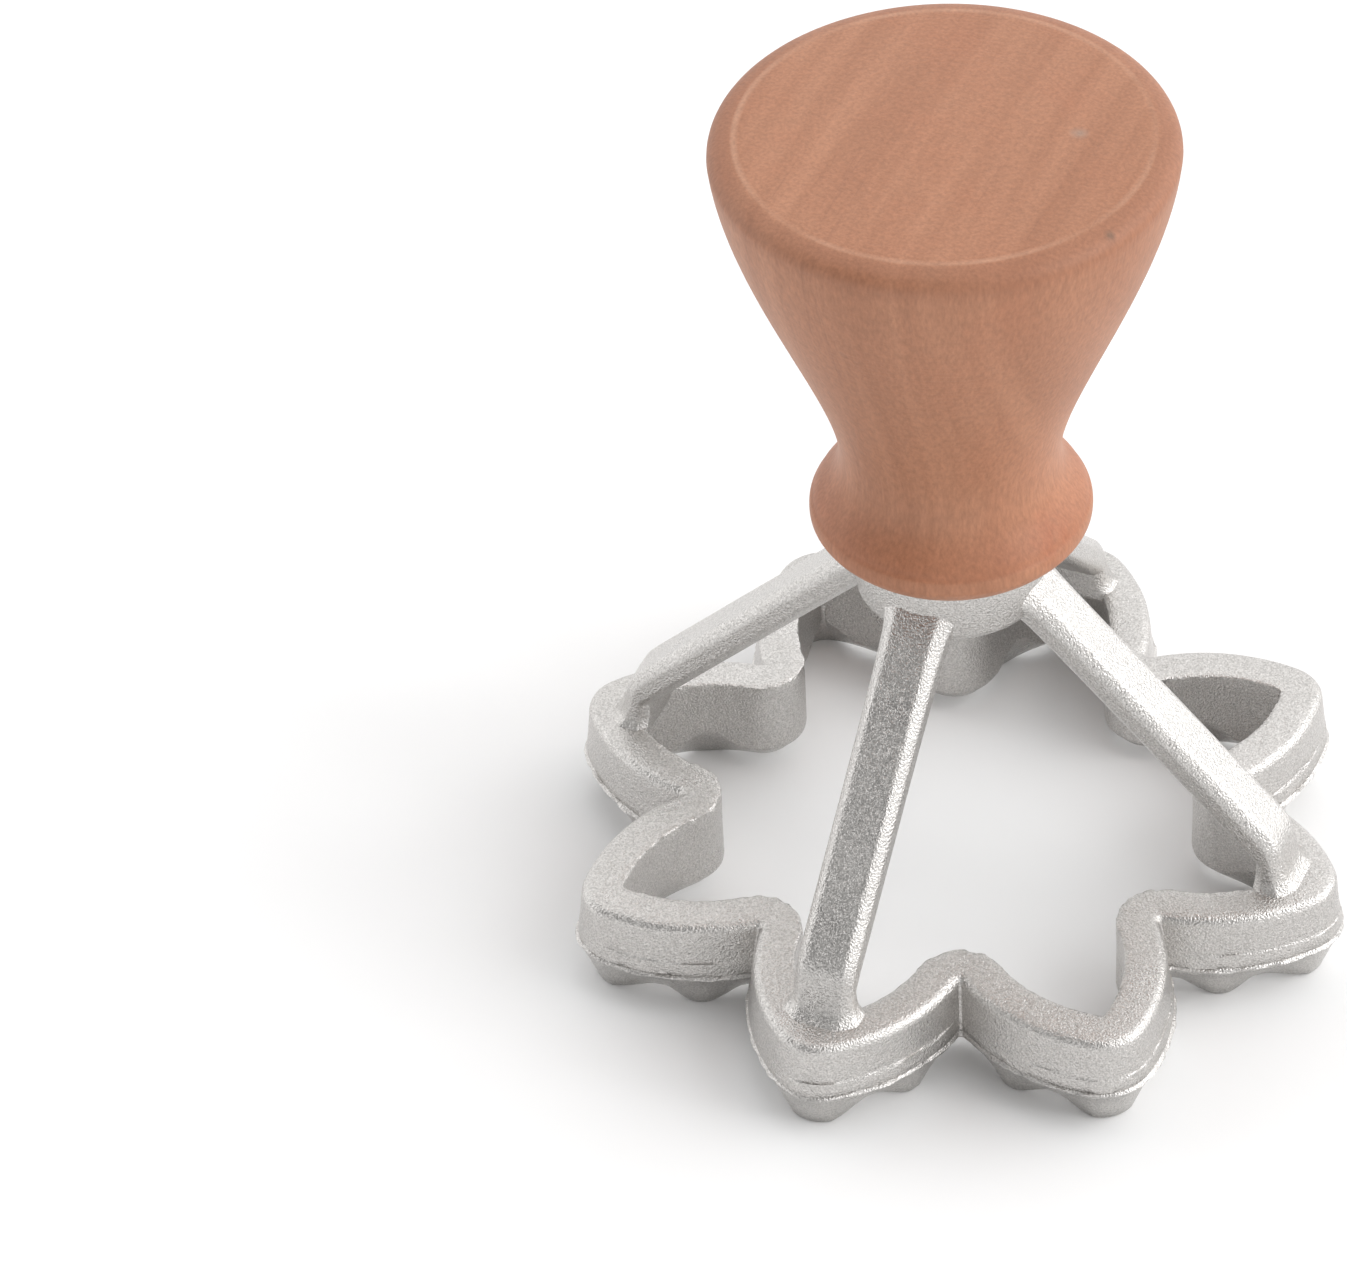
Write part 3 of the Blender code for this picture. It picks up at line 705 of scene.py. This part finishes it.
def smudge(tree, place, centre, reach, colour, tint, strength):
    """A small soft stain with a ragged edge."""
    ragged = add_node(tree, 'ShaderNodeTexNoise', Scale=700.0, Detail=2.0)
    away = add_node(tree, 'ShaderNodeVectorMath', operation='DISTANCE')
    away.inputs[1].default_value = centre
    link(tree, place.outputs["Object"], ragged, "Vector")
    link(tree, place.outputs["Object"], away, 0)
    near = share_of(tree, away.outputs["Value"], reach * 0.2, reach, strength, 0.0)
    torn = share_of(tree, ragged.outputs["Fac"], 0.35, 0.6, 0.3, 1.0)
    return tinted(tree, colour, tint, product(tree, near, torn))


def wood():
    """Pinkish close-grained wood: faint straight growth bands, short pores along the grain, painted shade on
    the shoulder, darker oiled end grain above the arris, lathe rings at the rim with a painted highlight
    along it, and the marks of use."""
    made, tree, shader = new_finish("turned_wood", (0.45, 0.225, 0.14), 0.5, 0.0)
    shader.inputs["Specular IOR Level"].default_value = 0.4
    place = add_node(tree, 'ShaderNodeTexCoord')
    tone = add_node(tree, 'ShaderNodeMix', data_type='RGBA')
    tone.inputs["A"].default_value = (0.34, 0.146, 0.078, 1)
    tone.inputs["B"].default_value = (0.445, 0.208, 0.119, 1)
    bands = band_noise(tree, place, (300, 18, 10), GRAIN_TURN, 1.0)
    tree.links.new(share_of(tree, bands, 0.28, 0.72, 0.0, 1.0), tone.inputs["Factor"])
    colour = tone.outputs["Result"]
    lines = band_noise(tree, place, (1500, 60, 14), GRAIN_TURN, 1.0)
    colour = tinted(tree, colour, (0.27, 0.12, 0.07), share_of(tree, lines, 0.64, 0.72, 0.0, 0.35))
    stains = band_noise(tree, place, (1, 1, 0.5), 0, 85.0)
    colour = tinted(tree, colour, (0.40, 0.16, 0.085), share_of(tree, stains, 0.5, 0.75, 0.0, 0.45))
    lathe, radius, height = lathe_rings(tree, place)
    # Painted shade: the shoulder just below the rim is darkened as if it were turned away from the light.
    shoulder_shade = product(tree, share_of(tree, radius, TOP_RADIUS, TOP_RADIUS + 0.6 * mm, 0.0, 1.0),
                       share_of(tree, height, KNOB_TOP - 3.2 * mm, KNOB_TOP - 1.8 * mm, 0.0, 0.4))
    colour = tinted(tree, colour, (0.30, 0.125, 0.07), shoulder_shade)
    # Painted highlight: a paler band along the rim of the top, broken up by the stains.
    rim = product(tree, share_of(tree, radius, TOP_RADIUS - 0.5 * mm, TOP_RADIUS - 0.1 * mm, 0.0, 1.0),
                  share_of(tree, radius, TOP_RADIUS + 0.05 * mm, TOP_RADIUS + 0.3 * mm, 1.0, 0.0))
    rim = product(tree, rim, share_of(tree, height, KNOB_TOP - 2 * mm, KNOB_TOP - 1.5 * mm, 0.0, 1.0))
    rim = product(tree, rim, share_of(tree, stains, 0.4, 0.65, 0.1, 0.45))
    colour = tinted(tree, colour, (0.58, 0.34, 0.23), rim)
    arris = KNOB_BOTTOM + ARRIS_RISE
    burnt = product(tree, share_of(tree, height, arris, arris + 4.5 * mm, 0.45, 0.0),
                    share_of(tree, height, arris - 0.25 * mm, arris, 0.25, 1.0))
    colour = tinted(tree, colour, (0.34, 0.115, 0.052), burnt)
    for centre, reach, tint, strength in MARKS:
        colour = smudge(tree, place, centre, reach, colour, tint, strength)
    pores = band_noise(tree, place, (1, 1, 0.3), 0, 3000.0)
    flecked = add_node(tree, 'ShaderNodeVectorMath', operation='SCALE')
    tree.links.new(colour, flecked.inputs[0])
    tree.links.new(share_of(tree, pores, 0.3, 0.7, 0.86, 1.14), flecked.inputs["Scale"])
    link(tree, flecked.outputs[0], shader, "Base Color")
    relief = add_node(tree, 'ShaderNodeMath', operation='ADD')
    tree.links.new(pores, relief.inputs[0])
    tree.links.new(lathe, relief.inputs[1])
    bump = add_node(tree, 'ShaderNodeBump', Strength=0.35, Distance=0.00008)
    link(tree, relief.outputs[0], bump, "Height")
    link(tree, bump.outputs["Normal"], shader, "Normal")
    return made


bm = bmesh.new()
turn_profile(bm, knob_profile(), KNOB_SIDES)
knob = finished_object("wooden_knob", bm, 30)
knob.data.materials.append(wood())
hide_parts("knob")


# A zinc-plated steel wood screw with a cross-recessed pan head comes up through the hub into the knob.
# Only its head shows, from below.

SCREW_CORE = 1.45 * mm           # radius of the shank between the turns of the thread
SCREW_TIP = 65.2 * mm
SCREW_POINT = 4.5 * mm
SCREW_SIDES = 64
HEAD_RADIUS = 3.9 * mm
HEAD_FLAT = 1.2 * mm             # radius of the flat in the middle of the head
HEAD_TOP = 37.2 * mm
HEAD_FACE = 35.2 * mm
RECESS_DEPTH = 1.3 * mm
RECESS_HALF = 2.1 * mm
RECESS_SLOT = 0.5 * mm           # half the width of one slot of the cross


def zinc():
    """Zinc plating: a bright grey that is faintly warmer and lighter in blotches."""
    made, tree, shader = new_finish("zinc_steel", (0.6, 0.6, 0.58), 0.35, 1.0)
    place = add_node(tree, 'ShaderNodeTexCoord')
    grain = add_node(tree, 'ShaderNodeGroup', node_tree=surface_grain, Grain=5200.0, Blotch=420.0)
    colour = add_node(tree, 'ShaderNodeMix', data_type='RGBA')
    colour.inputs["A"].default_value = (0.52, 0.52, 0.51, 1)
    colour.inputs["B"].default_value = (0.68, 0.68, 0.64, 1)
    rough = add_node(tree, 'ShaderNodeMapRange', From_Min=0.3, From_Max=0.7, To_Min=0.26, To_Max=0.44)
    bump = add_node(tree, 'ShaderNodeBump', Strength=0.2, Distance=0.00005)
    link(tree, place.outputs["Object"], grain, "Vector")
    link(tree, grain.outputs["Blotches"], colour, "Factor")
    tree.links.new(colour.outputs["Result"], shader.inputs["Base Color"])
    link(tree, grain.outputs["Shade"], rough, "Value")
    link(tree, rough.outputs[0], shader, "Roughness")
    link(tree, grain.outputs["Height"], bump, "Height")
    link(tree, bump.outputs["Normal"], shader, "Normal")
    return made


def cross_recess():
    """A tapered cross, pressed into the head from below."""
    bm = bmesh.new()
    for turn in (0, math.pi / 2):
        slot = bmesh.ops.create_cube(bm, size=1)["verts"]
        bmesh.ops.scale(bm, verts=slot, vec=(RECESS_HALF * 2, RECESS_SLOT * 2, RECESS_DEPTH * 2))
        bmesh.ops.scale(bm, verts=[vert for vert in slot if vert.co.z > 0], vec=(0.45, 0.6, 1))
        bmesh.ops.rotate(bm, verts=slot, matrix=Matrix.Rotation(turn, 3, 'Z'))
    bmesh.ops.translate(bm, verts=bm.verts[:], vec=(0, 0, HEAD_FACE))
    mesh = bpy.data.meshes.new("cross_recess")
    bm.to_mesh(mesh)
    bm.free()
    return bpy.data.objects.new("cross_recess", mesh)


bm = bmesh.new()
profile = [(0, SCREW_TIP), (SCREW_CORE, SCREW_TIP - SCREW_POINT), (SCREW_CORE, HEAD_TOP)]
profile += [(HEAD_RADIUS, HEAD_TOP)]
profile += sweep((HEAD_RADIUS, HEAD_TOP - 0.6 * mm), (HEAD_RADIUS, HEAD_TOP - 1.4 * mm),
                 (2.6 * mm, HEAD_FACE), (HEAD_FLAT, HEAD_FACE), 10)
profile += [(HEAD_FLAT, HEAD_FACE), (0, HEAD_FACE)]
turn_profile(bm, profile, SCREW_SIDES)
screw = finished_object("cross_head_screw", bm, 40)
recess = cross_recess()
bpy.context.scene.collection.objects.link(recess)
cut = screw.modifiers.new("recess", 'BOOLEAN')
cut.operation = 'DIFFERENCE'
cut.solver = 'EXACT'
cut.use_self = True
cut.object = recess
bpy.context.view_layer.update()
shape = bpy.data.meshes.new_from_object(screw.evaluated_get(bpy.context.evaluated_depsgraph_get()))
screw.modifiers.remove(cut)
screw.data = shape
bpy.data.objects.remove(recess)
screw.data.materials.clear()
screw.data.materials.append(zinc())
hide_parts("knob_screw")


# The screw's thread is rolled from the same zinc-plated steel and bites into the knob's wood, which hides
# it. It is a sharp ridge that winds up the shank, and its root is sunk a little into the shank.

THREAD_RADIUS = 2.05 * mm
THREAD_PITCH = 1.8 * mm
THREAD_TURNS = 11
THREAD_START = 40.6 * mm
THREAD_STEPS = 32                # in one turn
RIDGE_HALF = 0.4 * mm            # half the width of the ridge at its root
RIDGE_SINK = 0.15 * mm


def thread_ridge():
    """A triangle wound up the shank."""
    bm = bmesh.new()
    root = SCREW_CORE - RIDGE_SINK
    corners = ((root, -RIDGE_HALF), (THREAD_RADIUS, 0), (root, RIDGE_HALF))
    verts = [bm.verts.new((radius, 0, THREAD_START + rise)) for radius, rise in corners]
    bm.faces.new(verts)
    bmesh.ops.spin(bm, geom=bm.verts[:] + bm.edges[:] + bm.faces[:], cent=(0, 0, 0), axis=(0, 0, 1),
                   dvec=(0, 0, THREAD_PITCH / THREAD_STEPS), angle=2 * math.pi * THREAD_TURNS,
                   steps=THREAD_TURNS * THREAD_STEPS)
    return bm


thread = finished_object("screw_thread", thread_ridge(), 30)
thread.data.materials.append(screw.data.materials[0])
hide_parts("knob_screw")


# The stamp stands on a plain white floor in a light tent. The tent is brighter behind it and open towards
# the camera, and soft lamps stand on its right.

FLOOR_SIZE = 6.0
FLOOR_DROP = 0.02 * mm           # keeps the floor just clear of the teeth

# Suns: name, azimuth, height above the horizon and spread in degrees, and power
LAMPS = (
    ("key", 8, 45, 36, 0.5),
    ("right_box", 35, 24, 36, 0.25),
    ("right_strip", 2, 20, 14, 0.32),
)


def white_floor():
    made, _, shader = new_finish("white_floor", (0.92, 0.92, 0.92), 0.8, 0.0)
    shader.inputs["Specular IOR Level"].default_value = 0.0
    return made


bm = bmesh.new()
bmesh.ops.create_grid(bm, x_segments=2, y_segments=2, size=FLOOR_SIZE / 2)
mesh = bpy.data.meshes.new("floor")
bm.to_mesh(mesh)
bm.free()
floor = bpy.data.objects.new("floor", mesh)
floor.location = (0, 0, -FLOOR_DROP)
floor.data.materials.append(white_floor())
bpy.context.scene.collection.objects.link(floor)

world = bpy.data.worlds.new("light_tent")
bpy.context.scene.world = world
world.use_nodes = True
tree = world.node_tree
background = tree.nodes["Background"]
background.inputs["Color"].default_value = (1, 1, 1, 1)
facing = add_node(tree, 'ShaderNodeTexCoord')
path = add_node(tree, 'ShaderNodeLightPath')


def light_from(direction, low, high, at_low, at_high):
    """Strength of the tent's wall that changes with the angle from a direction."""
    towards = add_node(tree, 'ShaderNodeVectorMath', operation='DOT_PRODUCT')
    towards.inputs[1].default_value = Vector(direction).normalized()
    link(tree, facing.outputs["Generated"], towards, 0)
    return share_of(tree, towards.outputs["Value"], low, high, at_low, at_high)


def added(first, second):
    made = add_node(tree, 'ShaderNodeMath', operation='ADD')
    tree.links.new(first, made.inputs[0])
    tree.links.new(second, made.inputs[1])
    return made.outputs[0]


back_wall = light_from((0.1, 0.8, 0.6), -0.35, 0.95, 0.86, 1.3)
left_wall = light_from((-0.9, -0.43, 0.15), 0.5, 0.95, 0.0, 0.9)
right_wall = light_from((0.9, 0.43, 0.25), 0.5, 0.95, 0.0, 0.55)
open_front = light_from((-0.33, -0.66, 0.67), 0.66, 0.92, 1.0, 0.2)
tent = product(tree, added(added(back_wall, left_wall), right_wall), open_front)
shown = add_node(tree, 'ShaderNodeMath', operation='MAXIMUM')
strength = add_node(tree, 'ShaderNodeMix', data_type='FLOAT')
strength.inputs["B"].default_value = 1.0
link(tree, tent, strength, "A")
link(tree, path.outputs["Is Camera Ray"], shown, 0)
link(tree, path.outputs["Is Transmission Ray"], shown, 1)
link(tree, shown.outputs[0], strength, "Factor")
tree.links.new(strength.outputs["Result"], background.inputs["Strength"])

for name, azimuth, height, spread, power in LAMPS:
    light = bpy.data.lights.new(name, 'SUN')
    light.energy = power
    light.angle = math.radians(spread)
    lamp = bpy.data.objects.new(name, light)
    lamp.rotation_euler = (math.radians(90 - height), 0, math.radians(azimuth + 90))
    bpy.context.scene.collection.objects.link(lamp)

# The photograph's camera
CAMERA_HEIGHT = math.radians(41.0)               # above the horizontal
CAMERA_ROLL = math.radians(-3.166)
CAMERA_TURN = math.radians(25.71)                # round the stamp's axis
CAMERA_PLACE = Vector((-26.38 * mm, 20.79 * mm, 624.93 * mm))    # right, up and back, in its own view
PHOTO_WIDTH = 1347
FOCAL_PIXELS = 6741.4

camera_data = bpy.data.cameras.new("camera")
camera_data.sensor_fit = 'HORIZONTAL'
camera_data.lens = FOCAL_PIXELS / PHOTO_WIDTH * camera_data.sensor_width
camera_data.clip_start = 0.01
camera = bpy.data.objects.new("camera", camera_data)
turned = Matrix.Rotation(CAMERA_TURN, 4, 'Z') @ Matrix.Rotation(math.pi / 2 - CAMERA_HEIGHT, 4, 'X')
turned = turned @ Matrix.Rotation(CAMERA_ROLL, 4, 'Z')
camera.matrix_world = turned @ Matrix.Translation(CAMERA_PLACE)
bpy.context.scene.collection.objects.link(camera)
bpy.context.scene.camera = camera
bpy.context.scene.view_settings.view_transform = 'Standard'
